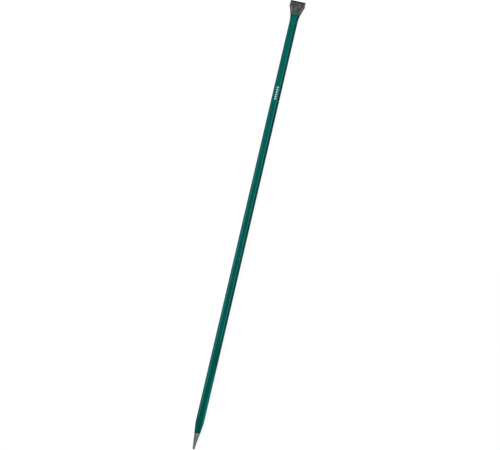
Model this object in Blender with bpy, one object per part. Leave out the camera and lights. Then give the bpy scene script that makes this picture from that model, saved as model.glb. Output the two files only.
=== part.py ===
# A straight crowbar that lies on a flat of its hexagon, with the origin under the middle of its length.
# Its steel is spread to a chisel blade at the +X end and drawn to a four-sided point at the -X end,
# with a hexagonal shaft between them. The three are one forging on the real bar, and here they meet
# face to face. The green paint covers the bar between its bare ends, and its coat parts where they do.
import itertools
import math

import bmesh
import bpy

# The whole bar, in metres
LENGTH = 1.500
PAINTED_ACROSS_FLATS = 0.0240
STEEL_CORNER_RADIUS = 0.0010

# The paint coat, and the room that it keeps to the steel
COAT_FILM = 0.0002
COAT_GAP = 0.0003
COAT_START_FROM_EDGE = 0.0485
COAT_END_FROM_TIP = 0.0528

# The chisel blade, by distance from its cutting edge
EDGE_HALF_WIDTH = 0.02523
BLADE_SIDE_SLOPE = 0.055
BLADE_SIDE_LENGTH = 0.0187
BLADE_CORNER_RADIUS = 0.0012
SHOULDER_ROUNDING = 0.0022
FLARE_SLOPE = 0.365
FLARE_ROUNDING = 0.0072
EDGE_HALF_THICKNESS = 0.0010
GROUND_BEVEL_LENGTH = 0.0095
GROUND_BEVEL_HALF_THICKNESS = 0.0034
GROUND_BEVEL_ROUNDING = 0.0003
WEDGE_SLOPE = 0.094
WEDGE_ROUNDING = 0.0020
EDGE_SIDE_FACET = 0.0004
SIDE_FACET_SLOPE = 0.145
SIDE_FACET_ROUNDING = 0.0020
CORNER_RADIUS_PER_THICKNESS = 0.45
BLADE_LENGTH = 0.120

# The cut between two lengths of the bar
LENGTH_GAP = 0.0003

# The point, by distance from its tip: half its width across the ridges of its four faces
TIP_HALF_DIAGONAL = 0.0036
POINT_SLOPE = 0.117
POINT_RIDGE_RADIUS = 0.0015
TIP_DOME_LENGTH = 0.0035
TIP_FLAT_ANGLE = 15

# Fineness of the lofts
CORNER_STEPS = 3
BLADE_STEP = 0.003
ROUND_STEPS = 5
SHARP_EDGE_ANGLE = 25

# Colour, roughness and metallic value of the two materials
STEEL_LOOK = ((0.090, 0.090, 0.088), 0.45, 0.85)
PAINT_LOOK = ((0.0010, 0.125, 0.110), 0.42, 0.0)

# What follows from them
COAT_GROWTH = COAT_FILM + COAT_GAP
AXIS_HEIGHT = PAINTED_ACROSS_FLATS / 2
EDGE_X = LENGTH / 2
TIP_X = -LENGTH / 2
STEEL_HALF_THICKNESS = AXIS_HEIGHT - COAT_GROWTH
STEEL_HALF_WIDTH = STEEL_HALF_THICKNESS * 2 / math.sqrt(3)
SHAFT_SIDE_FACET = STEEL_HALF_WIDTH / 2
BEVEL_SLOPE = (GROUND_BEVEL_HALF_THICKNESS - EDGE_HALF_THICKNESS) / GROUND_BEVEL_LENGTH
POINT_LENGTH = (STEEL_HALF_THICKNESS + SHAFT_SIDE_FACET - TIP_HALF_DIAGONAL) / POINT_SLOPE

# Where the shaft starts and ends and the point starts, from the cutting edge
SHAFT_START = BLADE_LENGTH + LENGTH_GAP
POINT_START = LENGTH - POINT_LENGTH
SHAFT_END = POINT_START - LENGTH_GAP

# How far the cutters pass the bar, and how wide the point's envelope stands round it
CUTTER_PASS = 0.010
ENVELOPE_REACH = 0.060


def clear_scene():
    for old in list(bpy.data.objects):
        bpy.data.objects.remove(old)


def new_collection(name):
    made = bpy.data.collections.new(name)
    bpy.context.scene.collection.children.link(made)
    return made


def new_material(name, colour, roughness, metallic):
    made = bpy.data.materials.new(name)
    made.use_nodes = True
    shader = made.node_tree.nodes["Principled BSDF"]
    shader.inputs["Base Color"].default_value = (*colour, 1)
    shader.inputs["Roughness"].default_value = roughness
    shader.inputs["Metallic"].default_value = metallic
    return made


def blended_min(a, b, width):
    """The lesser of two lengths, with the corner between them rounded over width."""
    overlap = max(width - abs(a - b), 0) / width
    return min(a, b) - overlap**2 * width / 4


def blended_max(a, b, width):
    return -blended_min(-a, -b, width)


def corner_loss(distance, radius):
    """How much a round corner takes off the side, this far from the corner's end."""
    left = max(radius - distance, 0)
    return radius - math.sqrt(radius**2 - left**2)


def half_width(distance):
    """Half the bar's width at its two side corners, by distance from the cutting edge."""
    side = EDGE_HALF_WIDTH + BLADE_SIDE_SLOPE * distance
    shoulder = EDGE_HALF_WIDTH + BLADE_SIDE_SLOPE * BLADE_SIDE_LENGTH
    flare = shoulder - FLARE_SLOPE * (distance - BLADE_SIDE_LENGTH)
    spread = blended_min(side, flare, SHOULDER_ROUNDING)
    width = blended_max(spread, STEEL_HALF_WIDTH, FLARE_ROUNDING)
    return width - corner_loss(distance, BLADE_CORNER_RADIUS)


def half_thickness(distance):
    """Half the bar's thickness: the ground bevel, then the forged wedge, then the hexagon."""
    bevel = EDGE_HALF_THICKNESS + BEVEL_SLOPE * distance
    wedge = GROUND_BEVEL_HALF_THICKNESS + WEDGE_SLOPE * (distance - GROUND_BEVEL_LENGTH)
    ground = blended_min(bevel, wedge, GROUND_BEVEL_ROUNDING)
    return blended_min(ground, STEEL_HALF_THICKNESS, WEDGE_ROUNDING)


def side_facet(distance):
    """How far in from the side corner the sloping facet reaches, seen from above."""
    facet = EDGE_SIDE_FACET + SIDE_FACET_SLOPE * distance
    return blended_min(facet, SHAFT_SIDE_FACET, SIDE_FACET_ROUNDING)


def rounded_outline(corners, radius):
    """A closed outline through corners, as (y, z) points, each corner turned into an arc."""
    points = []
    for i, corner in enumerate(corners):
        arms = []
        for other in (corners[i - 1], corners[(i + 1) % len(corners)]):
            reach = math.dist(corner, other)
            arms.append(((other[0] - corner[0]) / reach, (other[1] - corner[1]) / reach))
        (ay, az), (by, bz) = arms
        half_angle = math.acos(ay * by + az * bz) / 2
        middle = math.hypot(ay + by, az + bz)
        to_centre = radius / math.sin(half_angle)
        centre = (
            corner[0] + (ay + by) / middle * to_centre,
            corner[1] + (az + bz) / middle * to_centre,
        )
        outward = math.atan2(-(az + bz), -(ay + by))
        sweep = math.pi / 2 - half_angle
        for step in range(CORNER_STEPS + 1):
            angle = outward + sweep * (2 * step / CORNER_STEPS - 1)
            points.append((centre[0] + radius * math.cos(angle), centre[1] + radius * math.sin(angle)))
    return points


def bar_outline(distance, growth):
    """The bar's section before its point is formed, with every face moved out by growth."""
    steel_thickness = half_thickness(distance)
    facet = side_facet(distance)
    width = half_width(distance) + growth * math.hypot(facet, steel_thickness) / steel_thickness
    thickness = steel_thickness + growth
    flat = width - facet * thickness / steel_thickness
    corners = [
        (width, 0),
        (flat, thickness),
        (-flat, thickness),
        (-width, 0),
        (-flat, -thickness),
        (flat, -thickness),
    ]
    radius = min(STEEL_CORNER_RADIUS, CORNER_RADIUS_PER_THICKNESS * steel_thickness)
    return rounded_outline(corners, radius + growth)


def square_outline(half_diagonal, radius):
    corners = [(half_diagonal, 0), (0, half_diagonal), (-half_diagonal, 0), (0, -half_diagonal)]
    return rounded_outline(corners, radius)


def loft(name, sections, collection):
    """A closed solid through sections, each an x and an outline with the same number of points."""
    bm = bmesh.new()
    rings = []
    for x, outline in sections:
        rings.append([bm.verts.new((x, y, AXIS_HEIGHT + z)) for y, z in outline])
    for ring, following in itertools.pairwise(rings):
        for i in range(len(ring)):
            bm.faces.new((ring[i - 1], ring[i], following[i], following[i - 1]))
    bm.faces.new(rings[0])
    bm.faces.new(rings[-1])
    bmesh.ops.recalc_face_normals(bm, faces=bm.faces)
    mesh = bpy.data.meshes.new(name)
    bm.to_mesh(mesh)
    bm.free()
    mesh.shade_smooth()
    mesh.set_sharp_from_angle(angle=math.radians(SHARP_EDGE_ANGLE))
    made = bpy.data.objects.new(name, mesh)
    collection.objects.link(made)
    return made


def bar_distances():
    """The blank's stations, by distance from the cutting edge: close together along the blade."""
    corner = [
        BLADE_CORNER_RADIUS * (1 - math.cos(math.radians(90 * i / ROUND_STEPS)))
        for i in range(ROUND_STEPS + 1)
    ]
    blade_steps = round(BLADE_LENGTH / BLADE_STEP)
    blade = [BLADE_STEP * i for i in range(1, blade_steps + 1)]
    return sorted(corner + blade + [GROUND_BEVEL_LENGTH, BLADE_SIDE_LENGTH])


def bar_blank(name, collection, growth, start, end):
    """The bar with its blade but no point, between two distances from the cutting edge."""
    inner = [distance for distance in bar_distances() if start < distance < end]
    sections = [
        (EDGE_X - distance, bar_outline(distance, growth))
        for distance in [start, *inner, end]
    ]
    return loft(name, sections, collection)


def point_reach(distance):
    """Half the point's width across its ridges, by distance from the tip."""
    dome = min(distance / TIP_DOME_LENGTH, 1)
    flat = math.cos(math.radians(TIP_FLAT_ANGLE))
    full = TIP_HALF_DIAGONAL + POINT_SLOPE * distance
    return full * math.sqrt(1 - ((1 - dome) * flat) ** 2)


def four_sided_envelope(name, collection, growth):
    """A four-sided envelope that narrows to the point, and stands clear of the rest of the bar."""
    dome = [TIP_DOME_LENGTH * (i / ROUND_STEPS) ** 2 for i in range(ROUND_STEPS)]
    sections = []
    for distance in [*dome, TIP_DOME_LENGTH, POINT_LENGTH + CUTTER_PASS]:
        reach = point_reach(distance)
        ridge = min(POINT_RIDGE_RADIUS, CORNER_RADIUS_PER_THICKNESS * reach)
        outline = square_outline(reach + growth * math.sqrt(2), ridge + growth)
        sections.append((TIP_X + distance, outline))
    for x in (TIP_X + POINT_LENGTH + 2 * CUTTER_PASS, EDGE_X + CUTTER_PASS):
        sections.append((x, square_outline(ENVELOPE_REACH, POINT_RIDGE_RADIUS)))
    made = loft(name, sections, collection)
    mark_as_cutter(made)
    return made


def mark_as_cutter(made):
    made.hide_render = True
    made.display_type = "WIRE"


def cut(target, tool, operation):
    modifier = target.modifiers.new(tool.name, "BOOLEAN")
    modifier.operation = operation
    modifier.solver = "EXACT"
    modifier.object = tool


def chisel_blade(parts):
    """The blade with its flare and neck, as far as the full hexagon."""
    return bar_blank("chisel_blade", parts, 0, 0, BLADE_LENGTH)


def hex_shaft(parts):
    return bar_blank("hex_shaft", parts, 0, SHAFT_START, SHAFT_END)


def point(parts, cutters):
    """The end of the hexagon, cut by four faces whose ridges meet the flats and the side corners."""
    made = bar_blank("point", parts, 0, POINT_START, LENGTH + CUTTER_PASS)
    cut(made, four_sided_envelope("point_envelope", cutters, 0), "INTERSECT")
    return made


def paint_coats(parts, cutters):
    """The coat, a sleeve that follows the steel from the flare of the blade onto the point."""
    core = bar_blank("coat_core", cutters, COAT_GAP, 0, LENGTH + CUTTER_PASS)
    mark_as_cutter(core)
    cut(core, four_sided_envelope("core_envelope", cutters, COAT_GAP), "INTERSECT")
    blade_coat = bar_blank("blade_coat", parts, COAT_GROWTH, COAT_START_FROM_EDGE, BLADE_LENGTH)
    shaft_coat = bar_blank("shaft_coat", parts, COAT_GROWTH, SHAFT_START, SHAFT_END)
    point_coat = bar_blank("point_coat", parts, COAT_GROWTH, POINT_START, LENGTH - COAT_END_FROM_TIP)
    cut(point_coat, four_sided_envelope("coat_envelope", cutters, COAT_GROWTH), "INTERSECT")
    coats = (blade_coat, shaft_coat, point_coat)
    for coat in coats:
        cut(coat, core, "DIFFERENCE")
    return coats


def main():
    clear_scene()
    parts = new_collection("crowbar")
    cutters = new_collection("cutters")
    steel = new_material("forged_steel", *STEEL_LOOK)
    paint = new_material("green_paint", *PAINT_LOOK)
    for made in (chisel_blade(parts), hex_shaft(parts), point(parts, cutters)):
        made.data.materials.append(steel)
    for coat in paint_coats(parts, cutters):
        coat.data.materials.append(paint)


main()
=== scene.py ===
import math

import bmesh
import bpy
from mathutils import Matrix, Vector, noise


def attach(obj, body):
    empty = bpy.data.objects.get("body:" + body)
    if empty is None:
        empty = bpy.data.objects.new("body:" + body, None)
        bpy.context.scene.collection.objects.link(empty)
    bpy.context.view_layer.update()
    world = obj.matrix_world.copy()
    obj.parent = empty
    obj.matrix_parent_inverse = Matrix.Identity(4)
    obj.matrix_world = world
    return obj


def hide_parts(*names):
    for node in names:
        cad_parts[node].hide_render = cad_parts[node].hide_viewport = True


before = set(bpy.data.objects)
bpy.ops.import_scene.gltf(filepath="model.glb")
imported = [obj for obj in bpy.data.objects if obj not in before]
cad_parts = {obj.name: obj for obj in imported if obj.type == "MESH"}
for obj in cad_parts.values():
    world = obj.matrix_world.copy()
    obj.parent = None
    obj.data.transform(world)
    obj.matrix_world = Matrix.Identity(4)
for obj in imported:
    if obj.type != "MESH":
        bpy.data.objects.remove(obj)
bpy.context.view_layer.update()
print("frame loaded, nodes:", sorted(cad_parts))

# the bar that both the forging and the paint follow, by distance from the cutting edge
bar = {
    "length": 1.500,
    "axisHeight": 0.012,
    "steelHalfThickness": 0.0115,
    "cornerRadius": 0.0010,
    "bladeHalfWidth": 0.02523,
    "bladeSideSlope": 0.055,
    "bladeSideLength": 0.0187,
    "bladeCornerRadius": 0.0012,
    "shoulderRounding": 0.0022,
    "flareSlope": 0.365,
    "flareRounding": 0.0072,
    "edgeHalfThickness": 0.0010,
    "groundLength": 0.0095,
    "groundHalfThickness": 0.0034,
    "groundRounding": 0.0003,
    "wedgeSlope": 0.094,
    "wedgeRounding": 0.0020,
    "edgeSideFacet": 0.0004,
    "sideFacetSlope": 0.145,
    "sideFacetRounding": 0.0020,
    "cornerShare": 0.45,         # most that a corner radius takes of the half thickness
    "tipHalfDiagonal": 0.0036,
    "pointSlope": 0.117,
    "pointRidgeRadius": 0.0015,
    "tipDomeLength": 0.0035,
    "tipFlatAngle": 15,
    "pointBlend": 0.0006,        # softness where the point's faces run out on the hexagon
    "paintFromEdge": 0.0485,
    "paintFromTip": 0.0528,
}

steelHalfWidth = bar["steelHalfThickness"] * 2 / math.sqrt(3)
shaftSideFacet = steelHalfWidth / 2
edgeX = bar["length"] / 2
paintStart = bar["paintFromEdge"]
paintEnd = bar["length"] - bar["paintFromTip"]


def blendedMin(a, b, width):
    overlap = max(width - abs(a - b), 0) / width
    return min(a, b) - overlap**2 * width / 4


def blendedMax(a, b, width):
    return -blendedMin(-a, -b, width)


# how much a round corner takes off a side, this far from the corner's end
def cornerLoss(distance, radius):
    left = max(radius - distance, 0)
    return radius - math.sqrt(radius**2 - left**2)


def smoothStep(value, low, high):
    share = min(max((value - low) / (high - low), 0), 1)
    return share * share * (3 - 2 * share)


def smoothFall(value, low, high):
    return 1 - smoothStep(value, low, high)


def halfWidth(distance):
    side = bar["bladeHalfWidth"] + bar["bladeSideSlope"] * distance
    shoulder = bar["bladeHalfWidth"] + bar["bladeSideSlope"] * bar["bladeSideLength"]
    flare = shoulder - bar["flareSlope"] * (distance - bar["bladeSideLength"])
    spread = blendedMin(side, flare, bar["shoulderRounding"])
    width = blendedMax(spread, steelHalfWidth, bar["flareRounding"])
    return width - cornerLoss(distance, bar["bladeCornerRadius"])


def halfThickness(distance):
    slope = (bar["groundHalfThickness"] - bar["edgeHalfThickness"]) / bar["groundLength"]
    bevel = bar["edgeHalfThickness"] + slope * distance
    wedge = bar["groundHalfThickness"] + bar["wedgeSlope"] * (distance - bar["groundLength"])
    ground = blendedMin(bevel, wedge, bar["groundRounding"])
    return blendedMin(ground, bar["steelHalfThickness"], bar["wedgeRounding"])


def sideFacet(distance):
    facet = bar["edgeSideFacet"] + bar["sideFacetSlope"] * distance
    return blendedMin(facet, shaftSideFacet, bar["sideFacetRounding"])


def sectionCorners(distance, growth, edgeRound):
    thickness = halfThickness(distance) - cornerLoss(distance, edgeRound)
    facet = sideFacet(distance)
    width = halfWidth(distance) + growth * math.hypot(facet, thickness) / thickness
    grown = thickness + growth
    flat = width - facet * grown / thickness
    corners = [(width, 0), (flat, grown), (-flat, grown), (-width, 0), (-flat, -grown), (flat, -grown)]
    return corners, min(bar["cornerRadius"], bar["cornerShare"] * thickness) + growth


def cornerArc(before, corner, after, radius, steps):
    arms = []
    for other in (before, after):
        reach = math.dist(corner, other)
        arms.append(((other[0] - corner[0]) / reach, (other[1] - corner[1]) / reach))
    (ay, az), (by, bz) = arms
    halfAngle = math.acos(ay * by + az * bz) / 2
    toCentre = radius / math.sin(halfAngle) / math.hypot(ay + by, az + bz)
    centreY = corner[0] + (ay + by) * toCentre
    centreZ = corner[1] + (az + bz) * toCentre
    outward = math.atan2(-(az + bz), -(ay + by))
    sweep = math.pi / 2 - halfAngle
    turns = [outward + sweep * (2 * step / steps - 1) for step in range(steps + 1)]
    return [(centreY + radius * math.cos(a), centreZ + radius * math.sin(a)) for a in turns]


# one section as (y, z, edge) points, where edge is 1 on the rounded corners and fades over the flats
def barSection(distance, growth, detail, edgeRound=0):
    corners, radius = sectionCorners(distance, growth, edgeRound)
    arcs = [
        cornerArc(corners[i - 1], corners[i], corners[(i + 1) % 6], radius, detail["arcSteps"])
        for i in range(6)
    ]
    points = []
    for i, arc in enumerate(arcs):
        points += [(y, z, 1.0) for y, z in arc]
        steps = detail["flatSteps"] if i in (1, 4) else detail["sideSteps"]      # 1 and 4 lie level
        start, end = arc[-1], arcs[(i + 1) % 6][0]
        span = math.dist(start, end)
        for step in range(1, steps):
            share = step / steps
            away = min(share, 1 - share) * span
            y = start[0] + (end[0] - start[0]) * share
            z = start[1] + (end[1] - start[1]) * share
            points.append((y, z, math.exp(-((away / detail["edgeFade"]) ** 2))))
    return fourSided(points, distance, growth)


# how the edges of the point are marked for the materials, by how deep its faces cut the hexagon
pointMarks = {
    "ridgeWidth": 0.16,          # beside one of its four ridges, as a share of the radius
    "ridgeFrom": (0.0001, 0.0006),
    "runOutFrom": (0.00005, 0.0003),
    "runOutTo": (0.0003, 0.0009),
    "runOutShare": 0.6,          # how much of an edge the line is where a face runs out
}


def pointEdge(y, z, edge, depth):
    beside = min(abs(y), abs(z)) / math.hypot(y, z) / pointMarks["ridgeWidth"]
    onPoint = smoothStep(depth, *pointMarks["ridgeFrom"])
    runOut = smoothStep(depth, *pointMarks["runOutFrom"]) * smoothFall(depth, *pointMarks["runOutTo"])
    onRidge = math.exp(-(beside**2)) * onPoint
    return max(edge * (1 - onPoint), onRidge, pointMarks["runOutShare"] * runOut)


# draws a section in to the four faces of the point, whose ridges lie at the top, bottom and sides
def fourSided(points, distance, growth):
    fromTip = bar["length"] - distance
    reach = bar["tipHalfDiagonal"] + bar["pointSlope"] * fromTip
    if reach > 2 * bar["steelHalfThickness"]:      # here the four faces pass clear of the bar
        return points
    dome = min(fromTip / bar["tipDomeLength"], 1)
    flat = math.cos(math.radians(bar["tipFlatAngle"]))
    reach *= math.sqrt(1 - ((1 - dome) * flat) ** 2)
    ridge = min(bar["pointRidgeRadius"], bar["cornerShare"] * reach) + growth
    reach += growth * math.sqrt(2)
    soft = (math.sqrt(2) - 1) * ridge / reach
    drawn = []
    for y, z, edge in points:
        radius = math.hypot(y, z)
        across = math.hypot(y / radius, soft) + math.hypot(z / radius, soft)
        kept = blendedMin(radius, reach / across, bar["pointBlend"])
        drawn.append((y / radius * kept, z / radius * kept, pointEdge(y, z, edge, radius - kept)))
    return drawn


def outwardNormals(points):
    normals = []
    for i in range(len(points)):
        before, after = points[i - 1], points[(i + 1) % len(points)]
        dy, dz = after[0] - before[0], after[1] - before[1]
        size = math.hypot(dy, dz) or 1
        normals.append((dz / size, -dy / size))
    return normals


def addRing(bm, ring):
    return [bm.verts.new(co) for co in ring]


def joinRings(bm, rings):
    for first, second in zip(rings, rings[1:]):
        for i in range(len(first)):
            bm.faces.new((first[i - 1], first[i], second[i], second[i - 1]))


# adds a skin through rings, and to marks what the materials read at each of their points
def addSkin(bm, sections, marks):
    rings = []
    for ring, values in sections:
        rings.append(addRing(bm, ring))
        for name, numbers in values.items():
            marks.setdefault(name, []).extend(numbers)
    joinRings(bm, rings)
    return rings


mirrorGap = 0.0002      # most that two points above each other may lie apart in a closed ring


# closes a ring that is the same above and below with a strip of quads between its two halves
def closeRing(bm, ring):
    count = len(ring)
    half = count // 2

    def gap(middle, k):
        return (ring[(middle + k) % count].co - ring[(middle - k) % count].co).xy.length

    first = next(i for i in range(count) if all(gap(i, k) < mirrorGap for k in range(half)))
    for k in range(half):
        above = ring[(first + k) % count], ring[(first + k + 1) % count]
        below = ring[(first - k - 1) % count], ring[(first - k) % count]
        bm.faces.new(list(dict.fromkeys(above + below)))      # a triangle at both ends of the strip


def finishMesh(name, bm, marks=None, body="root"):
    bmesh.ops.recalc_face_normals(bm, faces=bm.faces)
    mesh = bpy.data.meshes.new(name)
    bm.to_mesh(mesh)
    bm.free()
    mesh.shade_smooth()
    for mark, values in (marks or {}).items():
        mesh.attributes.new(mark, "FLOAT", "POINT").data.foreach_set("value", values)
    made = bpy.data.objects.new(name, mesh)
    bpy.context.scene.collection.objects.link(made)
    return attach(made, body) if body else made


def fractalNoise(x, y, z, scale, octaves):
    return noise.fractal(Vector((x, y, z)) * scale, 1.0, 2.0, octaves)


# node helpers
def addNode(tree, kind, inputs=None, **settings):
    made = tree.nodes.new(kind)
    for key, value in settings.items():
        setattr(made, key, value)
    for key, value in (inputs or {}).items():
        if isinstance(value, bpy.types.NodeSocket):
            tree.links.new(value, made.inputs[key])
        else:
            made.inputs[key].default_value = value
    return made


def mathNode(tree, operation, *values):
    return addNode(tree, "ShaderNodeMath", dict(enumerate(values)), operation=operation).outputs[0]


def times(tree, first, second):
    return mathNode(tree, "MULTIPLY", first, second)


def plus(tree, first, second):
    return mathNode(tree, "ADD", first, second)


def minus(tree, first, second):
    return mathNode(tree, "SUBTRACT", first, second)


def rampNode(tree, value, low, high, start=0.0, end=1.0):
    inputs = {"Value": value, "From Min": low, "From Max": high, "To Min": start, "To Max": end}
    return addNode(tree, "ShaderNodeMapRange", inputs, interpolation_type="SMOOTHSTEP").outputs[0]


def mixColour(tree, share, first, second):
    inputs = {0: share, 6: first, 7: second}
    return addNode(tree, "ShaderNodeMix", inputs, data_type="RGBA").outputs[2]


def stretched(tree, place, stretch, scale):
    mapped = addNode(tree, "ShaderNodeMapping", {"Vector": place, "Scale": stretch})
    return {"Vector": mapped.outputs[0], "Scale": scale}


def noiseNode(tree, place, stretch, scale, detail, rough=0.55):
    inputs = {**stretched(tree, place, stretch, scale), "Detail": detail, "Roughness": rough}
    return addNode(tree, "ShaderNodeTexNoise", inputs).outputs[0]


def cellNode(tree, place, stretch, scale):
    return addNode(tree, "ShaderNodeTexVoronoi", stretched(tree, place, stretch, scale)).outputs[0]


def bumpNode(tree, height, depth, below=None):
    inputs = {"Height": height, "Distance": depth}
    if below is not None:
        inputs["Normal"] = below
    return addNode(tree, "ShaderNodeBump", inputs).outputs[0]


def markNode(tree, name):
    return addNode(tree, "ShaderNodeAttribute", attribute_name=name).outputs["Fac"]


def splitPlace(tree, place):
    return addNode(tree, "ShaderNodeSeparateXYZ", {0: place}).outputs


def newMaterial(name, colour):
    made = bpy.data.materials.new(name)
    made.use_nodes = True
    made.diffuse_color = (*colour, 1)
    tree = made.node_tree
    shader = tree.nodes["Principled BSDF"]
    place = addNode(tree, "ShaderNodeTexCoord").outputs["Object"]
    return made, tree, shader, place


def connect(tree, shader, **sources):
    for key, source in sources.items():
        tree.links.new(source, shader.inputs[key.replace("_", " ")])


# bare steel: ground bright at the cutting edge and on the point, forge scale on the blade. A noise is its
# stretch, scale, detail and roughness. Pairs in metres are places along the bar, from the nearer end, and
# scaleFrom and those like it are the values of a noise between which its mark comes in.
steelLook = {
    "scaleDark": (0.026, 0.027, 0.027, 1),
    "scaleLight": (0.115, 0.114, 0.112, 1),
    "scaleWarm": (0.120, 0.092, 0.098, 1),
    "ground": (0.024, 0.028, 0.025, 1),
    "groundLight": (0.056, 0.063, 0.057, 1),
    # a painted highlight where the bevel ends
    "groundLipHighlight": (0.155, 0.170, 0.158, 1),
    "point": (0.064, 0.064, 0.064, 1),
    "pointLight": (0.143, 0.140, 0.139, 1),
    # a painted highlight for the edges, and next a painted shade along the cutting edge
    "ridge": (0.21, 0.20, 0.20, 1),
    "edgeShade": (0.010, 0.012, 0.010, 1),
    "overspray": (0.004, 0.065, 0.055, 1),
    # pale mist on the point, also a painted reflection of the green coat
    "paleMistAndReflection": (0.080, 0.220, 0.178, 1),
    "streak": ((0.12, 1, 1), 170, 3, 0.6),
    "blotch": ((0.7, 1, 1), 95, 5),
    "flakes": ((0.6, 1, 1), 240, 6, 0.62),
    "pits": ((0.7, 1, 1), 800, 2, 0.5),
    "warmth": ((1, 1, 1), 40, 3),
    "grinding": ((0.06, 1, 1), 1500, 3, 0.6),
    "wander": ((1, 1, 1), 160, 3),
    "specks": ((1, 1, 1), 2200, 2),
    "fine": ((1, 1, 1), 900, 4),
    "streakShare": 0.65,         # of the scale's tone, and the blotches have the rest
    "scaleFrom": (0.42, 0.60),
    "warmFrom": (0.52, 0.72),
    "warmShare": (0, 0.5),
    "flakedFrom": (0.49, 0.53),
    "flakedDark": 0.30,
    "flakedDepth": 0.30,         # against that of the pits
    "pittedFrom": (0.60, 0.72),
    "pittedDark": 0.40,
    "groundFrom": (0.35, 0.68),
    "pointFrom": (0.32, 0.68),
    "groundWander": 0.0016,
    "groundEnd": (0.0099, 0.0111),
    "lipFrom": (0.0070, 0.0092),
    "lipPatches": (0.40, 0.56),
    "lipShare": (0.25, 0.75),
    "behindEnd": (0.0125, 0.0155),
    "behindDark": 0.6,
    "pointEnd": (0.2, 0.3),
    "edgeShadeEnd": (0.0027, 0.0056),
    "edgeShadeShare": (0.90, 0),
    "ridgeHighlightShare": (0.50, 0.90),  # painted highlight on all edges, and on those of the flare
    "flareFrom": (0.0173, 0.0253),
    "flareTo": (0.0353, 0.0453),
    "specksFrom": (0.38, 0.60),
    "specksShare": (0.45, 1),
    "bladeMistFrom": (0.0300, 0.0478),
    "bladeMistShare": (0, 0.97),
    "pointMistFrom": (0.0408, 0.0528),
    "pointMistShare": (0, 0.85),
    "fineFrom": (0.3, 0.7),
    "roughness": (0.50, 0.68),
    "brightSmoother": 0.16,
    "metallic": (0.60, 0.88),    # of the scale, and of ground steel
    "mistMatt": 0.5,
    "scaleRelief": 0.00010,
    "fineRelief": 0.00006,
    "grindingRelief": 0.00004,
}


# forge scale: streaks drawn along the bar, blotches, flakes come away and a warm cast where it is thin
def scaleColour(tree, place, blotch, flaked, pitted):
    look = steelLook
    streak = times(tree, noiseNode(tree, place, *look["streak"]), look["streakShare"])
    tone = plus(tree, streak, times(tree, blotch, 1 - look["streakShare"]))
    scale = mixColour(tree, rampNode(tree, tone, *look["scaleFrom"]), look["scaleDark"], look["scaleLight"])
    warmth = noiseNode(tree, place, *look["warmth"])
    warm = rampNode(tree, warmth, *look["warmFrom"], *look["warmShare"])
    scale = mixColour(tree, warm, scale, look["scaleWarm"])
    scale = mixColour(tree, times(tree, flaked, look["flakedDark"]), scale, look["scaleDark"])
    return mixColour(tree, times(tree, pitted, look["pittedDark"]), scale, look["scaleDark"])


# paint mist that drifted over the masked ends; on the bright point it is pale and also a painted reflection
# of the green coat
def mistOverSteel(tree, place, fromEdge, fromTip, isPoint):
    look = steelLook
    specks = noiseNode(tree, place, *look["specks"])
    bladeMist = rampNode(tree, fromEdge, *look["bladeMistFrom"], *look["bladeMistShare"])
    bladeMist = minus(tree, bladeMist, isPoint)
    pointMist = rampNode(tree, fromTip, *look["pointMistFrom"], *look["pointMistShare"])
    mist = mathNode(tree, "MAXIMUM", bladeMist, times(tree, pointMist, isPoint))
    share = times(tree, mist, rampNode(tree, specks, *look["specksFrom"], *look["specksShare"]))
    return share, mixColour(tree, isPoint, look["overspray"], look["paleMistAndReflection"])


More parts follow.
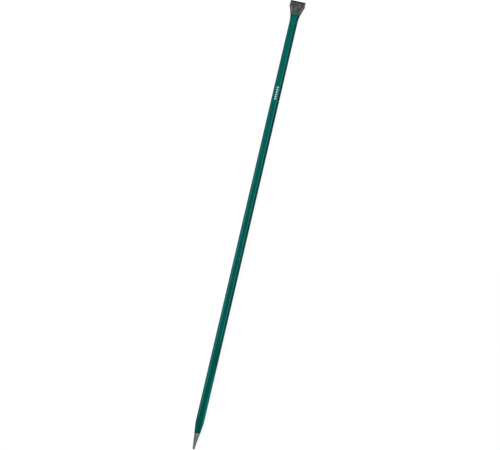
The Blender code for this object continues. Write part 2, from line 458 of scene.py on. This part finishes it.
def makeSteel():
    look = steelLook
    made, tree, shader, place = newMaterial("forgedSteel", look["scaleLight"][:3])
    along = splitPlace(tree, place)[0]
    fromEdge = minus(tree, edgeX, along)
    fromTip = plus(tree, edgeX, along)
    blotch = noiseNode(tree, place, *look["blotch"])
    flaked = rampNode(tree, noiseNode(tree, place, *look["flakes"]), *look["flakedFrom"])
    pitted = rampNode(tree, noiseNode(tree, place, *look["pits"]), *look["pittedFrom"])
    scale = scaleColour(tree, place, blotch, flaked, pitted)

    # ground faces: grinding lines along the bar, brighter where the wheel bit
    lines = noiseNode(tree, place, *look["grinding"])
    ground = mixColour(tree, rampNode(tree, lines, *look["groundFrom"]), look["ground"], look["groundLight"])
    pointed = mixColour(tree, rampNode(tree, lines, *look["pointFrom"]), look["point"], look["pointLight"])
    wander = times(tree, noiseNode(tree, place, *look["wander"]), look["groundWander"])
    groundLine = plus(tree, fromEdge, wander)
    wide = markNode(tree, "wideFace")
    isGround = times(tree, rampNode(tree, groundLine, *look["groundEnd"], 1, 0), wide)
    isPoint = rampNode(tree, fromTip, *look["pointEnd"], 1, 0)

    # painted highlight in patches where the bevel ends, and the scale darker just behind it
    patches = rampNode(tree, blotch, *look["lipPatches"], *look["lipShare"])
    lipHighlight = times(tree, rampNode(tree, groundLine, *look["lipFrom"]), isGround)
    ground = mixColour(tree, times(tree, lipHighlight, patches), ground, look["groundLipHighlight"])
    behind = times(tree, rampNode(tree, groundLine, *look["behindEnd"], 1, 0), look["behindDark"])
    scale = mixColour(tree, behind, scale, look["scaleDark"])
    colour = mixColour(tree, isGround, scale, ground)
    colour = mixColour(tree, isPoint, colour, pointed)

    # painted highlight on the edges, most of all along the flare, and painted shade along the cutting edge
    flare = rampNode(tree, fromEdge, *look["flareFrom"])
    flare = times(tree, flare, rampNode(tree, fromEdge, *look["flareTo"], 1, 0))
    ridge = times(tree, markNode(tree, "barEdge"), rampNode(tree, flare, 0, 1, *look["ridgeHighlightShare"]))
    colour = mixColour(tree, ridge, colour, look["ridge"])
    edgeShade = rampNode(tree, fromEdge, *look["edgeShadeEnd"], *look["edgeShadeShare"])
    colour = mixColour(tree, edgeShade, colour, look["edgeShade"])
    mist, mistColour = mistOverSteel(tree, place, fromEdge, fromTip, isPoint)
    colour = mixColour(tree, mist, colour, mistColour)

    fine = noiseNode(tree, place, *look["fine"])
    bright = mathNode(tree, "MAXIMUM", isGround, isPoint)
    rough = rampNode(tree, fine, *look["fineFrom"], *look["roughness"])
    rough = minus(tree, rough, times(tree, bright, look["brightSmoother"]))
    metal = rampNode(tree, bright, 0, 1, *look["metallic"])
    metal = minus(tree, metal, times(tree, mist, look["mistMatt"]))

    sunk = plus(tree, times(tree, flaked, look["flakedDepth"]), pitted)
    sunk = times(tree, sunk, rampNode(tree, bright, 0, 1, 1, 0))
    scaleBump = bumpNode(tree, minus(tree, blotch, sunk), look["scaleRelief"])
    fineBump = bumpNode(tree, fine, look["fineRelief"], scaleBump)
    lineBump = bumpNode(tree, times(tree, lines, bright), look["grindingRelief"], fineBump)
    connect(tree, shader, Base_Color=colour, Roughness=rough, Metallic=metal, Normal=lineBump)
    return made


# green paint: even satin coat, with a painted highlight along the corners of the hexagon. A place
# along the bar is its x here, and a pair of shares goes from the ramp's low end to its high end.
paintLook = {
    "body": (0.0010, 0.140, 0.125, 1),
    "bodyDeep": (0.0008, 0.103, 0.087, 1),
    # the lighter paint of the streaks, and the painted highlight on the corners
    "corner": (0.032, 0.265, 0.232, 1),
    "rim": (0.006, 0.062, 0.052, 1),
    # painted shade and painted light for the side facets
    "facetShade": (0.0006, 0.060, 0.052, 1),
    "facetLight": (0.006, 0.270, 0.230, 1),
    "cloud": ((0.25, 1, 1), 60, 4),
    "streak": ((0.03, 1, 1), 700, 3),
    "fine": ((1, 1, 1), 1300, 3),
    "peel": ((0.7, 1, 1), 480, 2, 0.4),
    "dust": ((1, 1, 1), 170),
    "cloudFrom": (0.22, 0.62),
    "shadeAlong": (-0.80, 0.50),    # painted shade: the whole coat is a little darker towards the point
    "shadeShare": (0.24, -0.06),
    "streakFrom": (0.5, 0.75),
    "streakShare": (0, 0.08),
    "middle": (-0.001, 0.001),
    "facetShadeShare": (0.50, 0.30),  # on the -Y and the +Y facets, towards the blade
    "facetShadeFrom": ((0.00, 0.30), (0.48, 0.62)),
    "facetLightTo": (-0.54, -0.45),   # painted light on the -Y facets, towards the point, up to here
    "facetLightBeyond": (-0.0084, -0.0064),
    # the stretch of the bar whose corners carry the painted highlight
    "highlightFrom": (-0.585, -0.475),
    "highlightTo": (0.25, 0.58),
    "highlightSkew": (-22, 28),           # how far both ends of that move along for each metre across
    "cornerShare": (0.08, 1.00),     # how much painted highlight the corners carry outside that stretch, and inside it
    "cornerHighlightFrom": (0.004, 0.009),    # height above or below the axis
    "cornerHighlightLean": (0.45, 1.45),      # how strong the painted highlight is on a corner's -Y side, and on its +Y side
    "brokenFrom": (0.25, 0.6),
    "brokenShare": (0.75, 1),
    "rimShare": 0.85,
    "fineFrom": (0.3, 0.7),
    "roughness": (0.36, 0.48),
    "specular": 0.015,
    "dustTo": (0.0, 0.08),
    "peelRelief": 0.00005,
    "streakRelief": 0.00003,
    "dustRelief": 0.00004,
}


# painted shade on the side facets towards the blade, and painted light on the -Y facets towards the point
def facetShading(tree, body, along, side, onPlus, wide):
    look = paintLook
    minusShare, plusShare = look["facetShadeShare"]
    minusFrom, plusFrom = look["facetShadeFrom"]
    onFacet = rampNode(tree, wide, 0, 1, 1, 0)
    minusShade = rampNode(tree, along, *minusFrom, 0, minusShare)
    minusShade = times(tree, minusShade, rampNode(tree, onPlus, 0, 1, 1, 0))
    plusShade = times(tree, rampNode(tree, along, *plusFrom, 0, plusShare), onPlus)
    shade = times(tree, plus(tree, minusShade, plusShade), onFacet)
    body = mixColour(tree, shade, body, look["facetShade"])
    lightening = rampNode(tree, along, *look["facetLightTo"], 1, 0)
    lightening = times(tree, lightening, rampNode(tree, side, *look["facetLightBeyond"], 1, 0))
    return mixColour(tree, times(tree, lightening, onFacet), body, look["facetLight"])


# painted highlight on the upper and lower corners along a stretch of the bar, further along on its -Y side
def cornerHighlightShare(tree, along, side, height, onPlus, wide):
    look = paintLook
    lowSkew, highSkew = look["highlightSkew"]
    lowPlace = mathNode(tree, "MULTIPLY_ADD", side, -lowSkew, along)
    highPlace = mathNode(tree, "MULTIPLY_ADD", side, highSkew, along)
    highlightLow = rampNode(tree, lowPlace, *look["highlightFrom"])
    highlightHigh = rampNode(tree, highPlace, *look["highlightTo"], 1, 0)
    highlightStretch = rampNode(tree, times(tree, highlightLow, highlightHigh), 0, 1, *look["cornerShare"])
    fromAxis = mathNode(tree, "ABSOLUTE", minus(tree, height, bar["axisHeight"]))
    cornerHighlight = times(tree, highlightStretch, rampNode(tree, fromAxis, *look["cornerHighlightFrom"]))
    leaning = mathNode(tree, "ABSOLUTE", minus(tree, onPlus, wide))
    return times(tree, cornerHighlight, rampNode(tree, leaning, 0, 1, *look["cornerHighlightLean"]))


def makePaint():
    look = paintLook
    made, tree, shader, place = newMaterial("greenPaint", look["body"][:3])
    along, side, height = splitPlace(tree, place)
    wide = markNode(tree, "wideFace")
    cloud = noiseNode(tree, place, *look["cloud"])
    streak = noiseNode(tree, place, *look["streak"])
    shadeTowardsPoint = rampNode(tree, along, *look["shadeAlong"], *look["shadeShare"])
    tone = rampNode(tree, minus(tree, cloud, shadeTowardsPoint), *look["cloudFrom"])
    body = mixColour(tree, tone, look["bodyDeep"], look["body"])
    streaked = rampNode(tree, streak, *look["streakFrom"], *look["streakShare"])
    body = mixColour(tree, streaked, body, look["corner"])
    onPlus = rampNode(tree, side, *look["middle"])
    body = facetShading(tree, body, along, side, onPlus, wide)

    # painted highlight along the corners
    cornerHighlight = cornerHighlightShare(tree, along, side, height, onPlus, wide)
    lightening = times(tree, cornerHighlight, rampNode(tree, streak, *look["brokenFrom"], *look["brokenShare"]))
    colour = mixColour(tree, times(tree, markNode(tree, "barEdge"), lightening), body, look["corner"])
    # painted shade along the rim at the point, and a darker start at the blade
    rim = times(tree, markNode(tree, "paintRim"), look["rimShare"])
    colour = mixColour(tree, rim, colour, look["rim"])

    fine = noiseNode(tree, place, *look["fine"])
    rough = rampNode(tree, fine, *look["fineFrom"], *look["roughness"])
    dust = rampNode(tree, cellNode(tree, place, *look["dust"]), *look["dustTo"], 1, 0)
    peelBump = bumpNode(tree, noiseNode(tree, place, *look["peel"]), look["peelRelief"])
    streakBump = bumpNode(tree, streak, look["streakRelief"], peelBump)
    dustBump = bumpNode(tree, dust, look["dustRelief"], streakBump)
    shader.inputs["Specular IOR Level"].default_value = look["specular"]
    connect(tree, shader, Base_Color=colour, Roughness=rough, Normal=dustBump)
    return made


# white print of the ticks, a little worn
tickLook = {
    "white": (0.56, 1.0, 0.97, 1),
    "worn": (0.40, 0.84, 0.80, 1),
    "grain": ((1, 1, 1), 1600, 4),
    "wear": ((1, 1, 1), 300, 3),
    "grainFrom": (0.5, 0.72),
    "wearFrom": (0.4, 0.65),
    "roughFrom": (0.3, 0.7),
    "roughness": (0.44, 0.58),
    "relief": 0.00002,
}


def makeTickWhite():
    look = tickLook
    made, tree, shader, place = newMaterial("tickWhite", look["white"][:3])
    grain = noiseNode(tree, place, *look["grain"])
    wear = noiseNode(tree, place, *look["wear"])
    share = times(tree, rampNode(tree, grain, *look["grainFrom"]), rampNode(tree, wear, *look["wearFrom"]))
    colour = mixColour(tree, share, look["white"], look["worn"])
    rough = rampNode(tree, grain, *look["roughFrom"], *look["roughness"])
    bump = bumpNode(tree, grain, look["relief"])
    connect(tree, shader, Base_Color=colour, Roughness=rough, Normal=bump)
    return made


steelMaterial = makeSteel()
paintMaterial = makePaint()
tickMaterial = makeTickWhite()
print("materials made")

# the forging: one piece of steel from the cutting edge to the tip. A stretch of rings is its first place,
# its step and its count, and a noise is its scale and octaves.
forging = {
    "arcSteps": 6,
    "flatSteps": 28,
    "sideSteps": 8,
    "edgeFade": 0.0014,
    "edgeRound": 0.0007,         # how far the cutting edge is rounded over
    "edgeRings": (0, 0.00005, 0.00015, 0.0003, 0.0005, 0.0008),
    "bladeRings": (0.0012, 0.0005, 100),
    "neckRings": (0.054, 0.003, 22),
    "shaftRings": (0.150, 0.0605, 20),
    "shoulderRings": (1.362, 0.006, 13),
    "pointRings": (1.4405, 0.0005, 112),
    "tipRings": (1.4968, 0.0003, 9),
    "lastFromTip": (0.0006, 0.0004, 0.0002, 0.0001, 0),
    "paintGrowth": 0.0003,       # the steel swells by this much up to the paint's rim
    "swellLength": 0.020,
    "hiddenGrowth": 0.0001,      # and keeps this much under the paint
    "hiddenFrom": (0.0015, 0.009),
    "bladeBareTo": (0.050, 0.056),
    "pointBareTo": (0.056, 0.062),
    "dent": 0.00016,
    "dentNoise": (95, 2),
    "dentsFrom": (0.009, 0.014),
    "grain": 0.000025,
    "grainNoise": (620, 3),
    "grainShift": 3,             # sets a noise apart from the others
    "wave": 0.000056,            # of the ground faces of the point
    "waveNoise": (160, 2),
    "waveShift": 7,
    "waveFromTip": (0.001, 0.006),
    "hollow": 0.00045,           # depth of the hollow between the blade's two ridges
    "hollowFrom": (0.012, 0.022),
    "hollowTo": (0.034, 0.056),
    "hollowPower": 0.8,
    "flatHeight": 0.9,           # a flat's points lie above this share of the section's height
    "flatNormal": 0.97,          # and their normals are at least this upright
    "wideFaceFrom": (0.80, 0.97),
    "nick": 0.00012,
    "nickNoise": (260, 3),
    "nickShift": 0.3,
    "nickReach": 0.002,
}


def steelGrowth(distance):
    inside = min(distance - paintStart, paintEnd - distance)
    if inside < 0:
        return forging["paintGrowth"] * smoothStep(inside, -forging["swellLength"], 0)
    drop = forging["paintGrowth"] - forging["hiddenGrowth"]
    return forging["paintGrowth"] - drop * smoothStep(inside, *forging["hiddenFrom"])


def forgingDistances():
    places = list(forging["edgeRings"])
    for stretch in ("bladeRings", "neckRings", "shaftRings", "shoulderRings", "pointRings", "tipRings"):
        first, step, count = forging[stretch]
        places += [first + step * i for i in range(count)]
    return places + [bar["length"] - last for last in forging["lastFromTip"]]


# how far the forged surface stands out from the plain section at this place
def forgeSurface(distance, y, z, flatShare):
    fromTip = bar["length"] - distance
    onBlade = smoothFall(distance, *forging["bladeBareTo"])
    onPoint = smoothFall(fromTip, *forging["pointBareTo"])
    dents = forging["dent"] * fractalNoise(distance, y, z, *forging["dentNoise"])
    dents *= onBlade * smoothStep(distance, *forging["dentsFrom"])
    grain = forging["grain"] * fractalNoise(distance + forging["grainShift"], y, z, *forging["grainNoise"])
    wave = forging["wave"] * fractalNoise(distance + forging["waveShift"], y, z, *forging["waveNoise"])
    wave *= onPoint * smoothStep(fromTip, *forging["waveFromTip"])
    hollow = forging["hollow"] * flatShare
    hollow *= smoothStep(distance, *forging["hollowFrom"]) * smoothFall(distance, *forging["hollowTo"])
    return dents + max(onBlade, onPoint) * grain + wave - hollow


def forgedRing(distance):
    points = barSection(distance, steelGrowth(distance), forging, forging["edgeRound"])
    top = max(z for y, z, edge in points)
    flatHalfWidth = max(y for y, z, edge in points if z > forging["flatHeight"] * top)
    nearEdge = smoothFall(distance, 0, forging["nickReach"])
    ring, edges, wideFaces = [], [], []
    for (y, z, edge), (ny, nz) in zip(points, outwardNormals(points)):
        inFlat = max(1 - (y / flatHalfWidth) ** 2, 0) if abs(nz) > forging["flatNormal"] else 0
        push = forgeSurface(distance, y, z, inFlat ** forging["hollowPower"])
        nick = forging["nick"] * max(fractalNoise(y, z, forging["nickShift"], *forging["nickNoise"]), 0)
        x = edgeX - distance - nearEdge * nick
        ring.append((x, y + ny * push, bar["axisHeight"] + z + nz * push))
        edges.append(edge)
        wideFaces.append(smoothStep(abs(nz), *forging["wideFaceFrom"]))
    return ring, {"barEdge": edges, "wideFace": wideFaces}


def makeForging():
    bm = bmesh.new()
    marks = {}
    rings = addSkin(bm, map(forgedRing, forgingDistances()), marks)
    closeRing(bm, rings[0])
    closeRing(bm, rings[-1])
    made = finishMesh("crowbarForging", bm, marks)
    made.data.materials.append(steelMaterial)
    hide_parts("chisel_blade", "hex_shaft", "point")
    return made


forgingPiece = makeForging()
print("forging made:", len(forgingPiece.data.vertices), "vertices")

# the paint: a closed sleeve on the steel, feathered at the blade and beaded at the point
paint = {
    "arcSteps": 6,
    "flatSteps": 12,
    "sideSteps": 8,
    "edgeFade": 0.0009,
    "rimRings": (                # by distance from the line where the paint stops
        0, 0.00015, 0.0003, 0.0005, 0.0007, 0.0009, 0.0012, 0.0016, 0.0021,
        0.0027, 0.0034, 0.0042, 0.0052, 0.0064, 0.0078, 0.0094, 0.0112,
    ),
    "nearRings": (0.0132, 0.002),    # first place and step after those
    "nearCounts": (35, 36),          # how many at the blade, and at the point
    "shaftStep": 0.005,
    "hiddenFineTo": 0.09,        # the sleeve's inside has every ring up to here, and then every second one
    "hiddenGrowth": 0.0002,
    "innerGrowth": 0.00022,
    "outerGrowth": 0.0005,
    "feather": 0.0011,           # length over which the film's rim rises
    "bead": 0.00022,             # how much thicker the paint is where it ran to the point
    "beadMiddle": 0.0016,
    "beadLength": 0.0028,
    "beadEnd": 0.02,
    "rimShade": (0.0030, 0.0062),    # painted shade along the thick rim at the point, up to here
    "startShade": (0.0025, 0.0110),  # and the coat is darker from its start at the blade up to here
    "startDark": 0.68,
    "wideFaceFrom": (0.60, 0.95),
    "wave": 0.00002,
    "waveNoise": (45, 2),
    "wanderReach": 0.010,        # how far in from its ends the coat follows their wandering lines
    "bladeWander": 0.0007,
    "bladeNoise": (1.7, 3),
    "bladeShift": 2.0,
    "pointWander": 0.0009,
    "pointNoise": (1.9, 3),
    "pointShift": 9.0,
    "pointArch": 0.0016,         # how far the paint draws back over the point's top ridge
    "archWidth": 0.35,
    "pointSlant": 0.0010,
    "leastShift": 1e-7,
}


def paintDistances():
    first, step = paint["nearRings"]
    nearBlade, nearPoint = (
        [*paint["rimRings"], *(first + step * i for i in range(count))]
        for count in paint["nearCounts"]
    )
    left, right = paintStart + nearBlade[-1], paintEnd - nearPoint[-1]
    steps = round((right - left) / paint["shaftStep"])
    shaft = [left + (right - left) * i / steps for i in range(1, steps)]
    return [
        *(paintStart + place for place in nearBlade),
        *shaft,
        *(paintEnd - place for place in reversed(nearPoint)),
    ]


# how far the paint's line wanders along the bar at this place round it
def bladeLine(turn):
    wander = fractalNoise(math.cos(turn), math.sin(turn), paint["bladeShift"], *paint["bladeNoise"])
    return paint["bladeWander"] * wander


def pointLine(turn):
    ridge = math.exp(-((math.cos(turn) / paint["archWidth"]) ** 2))
    wander = fractalNoise(math.cos(turn), math.sin(turn), paint["pointShift"], *paint["pointNoise"])
    slant = paint["pointSlant"] * math.cos(turn)
    return paint["pointWander"] * wander - paint["pointArch"] * ridge + slant


# the section's radius in one direction, from its straight faces
def sectionRadius(distance, growth, turn):
    steel = halfThickness(distance)
    width = halfWidth(distance) + growth
    reach = bar["tipHalfDiagonal"] + bar["pointSlope"] * (bar["length"] - distance)
    c, s = abs(math.cos(turn)), abs(math.sin(turn))
    toFlat = (steel + growth) / s if s else math.inf
    toSide = width / (c + s * sideFacet(distance) / steel)
    toPoint = (reach + growth * math.sqrt(2)) / (c + s)
    return min(toFlat, toSide, toPoint)


def paintRing(distance, growth, film):
    inStart, inEnd = distance - paintStart, paintEnd - distance
    followStart = smoothFall(inStart, 0, paint["wanderReach"])
    followEnd = smoothFall(inEnd, 0, paint["wanderReach"])
    startShade = paint["startDark"] * smoothFall(inStart, *paint["startShade"])
    rim = max(smoothFall(inEnd, *paint["rimShade"]), startShade)
    points = barSection(distance, growth, paint)
    ring, edges, wideFaces = [], [], []
    for (y, z, edge), (ny, nz) in zip(points, outwardNormals(points)):
        turn = math.atan2(z, y)
        moved = distance + bladeLine(turn) * followStart + pointLine(turn) * followEnd
        share = 1.0
        if abs(moved - distance) > paint["leastShift"]:      # keeps the skin on the steel there
            share = sectionRadius(moved, growth, turn) / sectionRadius(distance, growth, turn)
        push = film * fractalNoise(moved, y, z, *paint["waveNoise"])
        scale = share * (1 + push / math.hypot(y, z))
        ring.append((edgeX - moved, y * scale, bar["axisHeight"] + z * scale))
        edges.append(edge)
        wideFaces.append(smoothStep(abs(nz), *paint["wideFaceFrom"]))
    return ring, {"barEdge": edges, "wideFace": wideFaces, "paintRim": [rim] * len(ring)}


def rimGrowth(distance):
    inEnd = paintEnd - distance
    inside = min(min(distance - paintStart, inEnd) / paint["feather"], 1)
    rise = math.sqrt(max(1 - (1 - inside) ** 2, 0))
    film = paint["outerGrowth"] - paint["innerGrowth"]
    if inEnd < paint["beadEnd"]:
        film += paint["bead"] * math.exp(-2 * ((inEnd - paint["beadMiddle"]) / paint["beadLength"]) ** 2)
    return paint["innerGrowth"] + film * rise


def makePaintCoat():
    bm = bmesh.new()
    marks = {}
    distances = paintDistances()
    hidden = [
        distance for i, distance in enumerate(distances)
        if 0 < i < len(distances) - 1 and (i % 2 == 0 or distance < paint["hiddenFineTo"])
    ]
    outer = addSkin(bm, (paintRing(d, rimGrowth(d), paint["wave"]) for d in distances), marks)
    inner = addSkin(bm, (paintRing(d, paint["hiddenGrowth"], 0) for d in hidden), marks)
    joinRings(bm, [outer[0], inner[0]])
    joinRings(bm, [outer[-1], inner[-1]])
    made = finishMesh("paintCoat", bm, marks)
    made.data.materials.append(paintMaterial)
    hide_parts("blade_coat", "shaft_coat", "point_coat")
    return made


paintPiece = makePaintCoat()
print("paint made:", len(paintPiece.data.vertices), "vertices")

# plain ticks printed on the upper flat, in place of any lettering
ticks = {
    "count": 6,
    "firstFromEdge": 0.2999,
    "pitch": 0.0078,
    "across": 0.0058,
    "along": 0.0047,
    "offset": 0.0004,            # towards +Y from the middle of the flat
    "corner": 0.0007,
    "cornerSteps": 4,
    "sideSteps": 6,
    "height": 0.00004,
    "sunk": 0.00015,
    "rounding": ((0.5, 1.0), (0.85, 0.985), (1.0, 0.95)),    # shares of the height, and of the size there
    "ragged": 0.00012,
    "raggedScale": 900,
    "raggedShift": 7.3,          # sets each tick's outline apart from the others
}


def roundedTick():
    halfX, halfY, radius = ticks["along"] / 2, ticks["across"] / 2, ticks["corner"]
    points = []
    for cx, cy, start in ((1, 1, 0), (-1, 1, 90), (-1, -1, 180), (1, -1, 270)):
        for step in range(ticks["cornerSteps"] + 1):
            turn = math.radians(start + 90 * step / ticks["cornerSteps"])
            x = cx * (halfX - radius) + radius * math.cos(turn)
            y = cy * (halfY - radius) + radius * math.sin(turn)
            points.append((x, y))
    return points


def tickOutline(number):
    points = roundedTick()
    ragged = []
    for i, (x, y) in enumerate(points):
        nx, ny = points[(i + 1) % len(points)]
        steps = ticks["sideSteps"] if math.dist((x, y), (nx, ny)) > 2 * ticks["corner"] else 1
        for k in range(steps):
            px, py = x + (nx - x) * k / steps, y + (ny - y) * k / steps
            scale = ticks["raggedScale"]
            jag = noise.noise(Vector((px * scale, py * scale, number * ticks["raggedShift"])))
            push = 1 + ticks["ragged"] * jag / math.hypot(px, py)
            ragged.append((px * push, py * push))
    return ragged


def makeTicks():
    bm = bmesh.new()
    top = 2 * bar["axisHeight"]
    levels = [(-ticks["sunk"], 1.0)]
    levels += [(ticks["height"] * height, size) for height, size in ticks["rounding"]]
    for i in range(ticks["count"]):
        centreX = edgeX - ticks["firstFromEdge"] - ticks["pitch"] * i
        outline = tickOutline(i)
        rings = []
        for height, size in levels:
            ring = [(centreX + x * size, ticks["offset"] + y * size, top + height) for x, y in outline]
            rings.append(addRing(bm, ring))
        joinRings(bm, rings)
        bm.faces.new(rings[0])
        bm.faces.new(rings[-1])
    made = finishMesh("plainTicks", bm)
    made.data.materials.append(tickMaterial)
    return made


makeTicks()
print("ticks made:", ticks["count"])

# the studio: pale floor, white surroundings, soft lamps
studio = {
    "floorHalf": 8.0,
    "floorColour": (0.22, 0.22, 0.22, 1),
    "floorShine": 0.89,          # white that the floor adds for the camera, glass and metal only
    "floorFade": (1.8, 4.5),     # how far from the bar's middle that rises to the white of the room
    "worldLight": 0.10,          # even light from all round
    "ceiling": 0.08,             # how bright the room is overhead, where it shows in gloss
    "ceilingFrom": (0.30, 0.80),     # how far up it begins and ends to fade to that
}

lamps = {
    "bladeLeftLamp": {"place": (1.8, 1.15, 1.7), "size": (0.7, 0.7), "power": 27},
    "bladeRightLamp": {"place": (1.8, -0.85, 1.8), "size": (0.7, 0.7), "power": 22},
    "leftLowLamp": {"place": (-0.40, 0.8, 0.4), "size": (0.8, 0.3), "power": 4.8},
    "pointLowLamp": {"place": (-1.10, -0.7, 0.3), "size": (0.3, 0.3), "power": 3.2},
}


def seenRays(tree):
    path = addNode(tree, "ShaderNodeLightPath").outputs
    seen = mathNode(tree, "MAXIMUM", path["Is Camera Ray"], path["Is Glossy Ray"])
    return mathNode(tree, "MAXIMUM", seen, path["Is Transmission Ray"])


def makeFloorMaterial():
    made = bpy.data.materials.new("floorWhite")
    made.use_nodes = True
    tree = made.node_tree
    tree.nodes.clear()
    matt = addNode(tree, "ShaderNodeBsdfDiffuse", {"Color": studio["floorColour"]})
    place = addNode(tree, "ShaderNodeTexCoord").outputs["Object"]
    away = addNode(tree, "ShaderNodeVectorMath", {0: place}, operation="LENGTH").outputs["Value"]
    white = rampNode(tree, away, *studio["floorFade"], studio["floorShine"], 1.0)
    glow = addNode(tree, "ShaderNodeEmission", {"Strength": times(tree, seenRays(tree), white)})
    both = addNode(tree, "ShaderNodeAddShader", {0: matt.outputs[0], 1: glow.outputs[0]})
    addNode(tree, "ShaderNodeOutputMaterial", {0: both.outputs[0]})
    return made


def makeFloor():
    bm = bmesh.new()
    half = studio["floorHalf"]
    bm.faces.new(addRing(bm, [(-half, -half, 0), (half, -half, 0), (half, half, 0), (-half, half, 0)]))
    made = finishMesh("studioFloor", bm, body=None)
    made.data.materials.append(makeFloorMaterial())


def makeWorld():
    world = bpy.data.worlds.new("studioWorld")
    bpy.context.scene.world = world
    world.use_nodes = True
    tree = world.node_tree
    tree.nodes.clear()
    place = addNode(tree, "ShaderNodeTexCoord").outputs["Generated"]
    seen = rampNode(tree, splitPlace(tree, place)[2], *studio["ceilingFrom"], 1.0, studio["ceiling"])
    light = {0: seenRays(tree), 2: studio["worldLight"], 3: seen}
    strength = addNode(tree, "ShaderNodeMix", light).outputs[0]
    sky = addNode(tree, "ShaderNodeBackground", {"Color": (1, 1, 1, 1), "Strength": strength})
    addNode(tree, "ShaderNodeOutputWorld", {0: sky.outputs[0]})


def makeLamp(name, settings):
    data = bpy.data.lights.new(name, "AREA")
    data.shape = "RECTANGLE"
    data.size, data.size_y = settings["size"]
    data.energy = settings["power"]
    made = bpy.data.objects.new(name, data)
    bpy.context.scene.collection.objects.link(made)
    made.visible_camera = False
    made.location = settings["place"]
    made.rotation_euler = (-Vector(settings["place"])).to_track_quat("-Z", "Y").to_euler()


makeFloor()
makeWorld()
for lampName, lampSettings in lamps.items():
    makeLamp(lampName, lampSettings)
print("studio made")

# the camera looks down on the bar, blade towards the top right of the picture
lens = {
    "aim": (-0.01019, -0.01274, 0.012),
    "distance": 3.0,
    "tilt": 4.50,                # degrees off straight down, towards the point
    "side": 4.0,                 # degrees off straight down, towards -Y
    "turn": -13.162,
    "length": 66.507,
    "sensor": 36,
}


def makeCamera():
    tilt, side, turn = (math.radians(lens[key]) for key in ("tilt", "side", "turn"))
    back = Vector((-math.sin(tilt), -math.cos(tilt) * math.sin(side), math.cos(tilt) * math.cos(side)))
    level = Vector((1, 0, 0)) - back * back.x
    level.normalize()
    right = (-back).cross(level)
    up = level * math.cos(turn) + right * math.sin(turn)
    across = (-back).cross(up)
    place = Vector(lens["aim"]) + back * lens["distance"]
    data = bpy.data.cameras.new("photoCamera")
    data.lens = lens["length"]
    data.sensor_width = lens["sensor"]
    made = bpy.data.objects.new("photoCamera", data)
    bpy.context.scene.collection.objects.link(made)
    rows = [(across[i], up[i], back[i], place[i]) for i in range(3)]
    made.matrix_world = Matrix([*rows, (0, 0, 0, 1)])
    bpy.context.scene.camera = made


makeCamera()
bpy.context.scene.view_settings.view_transform = "Standard"
print("camera placed")

bpy.context.view_layer.update()
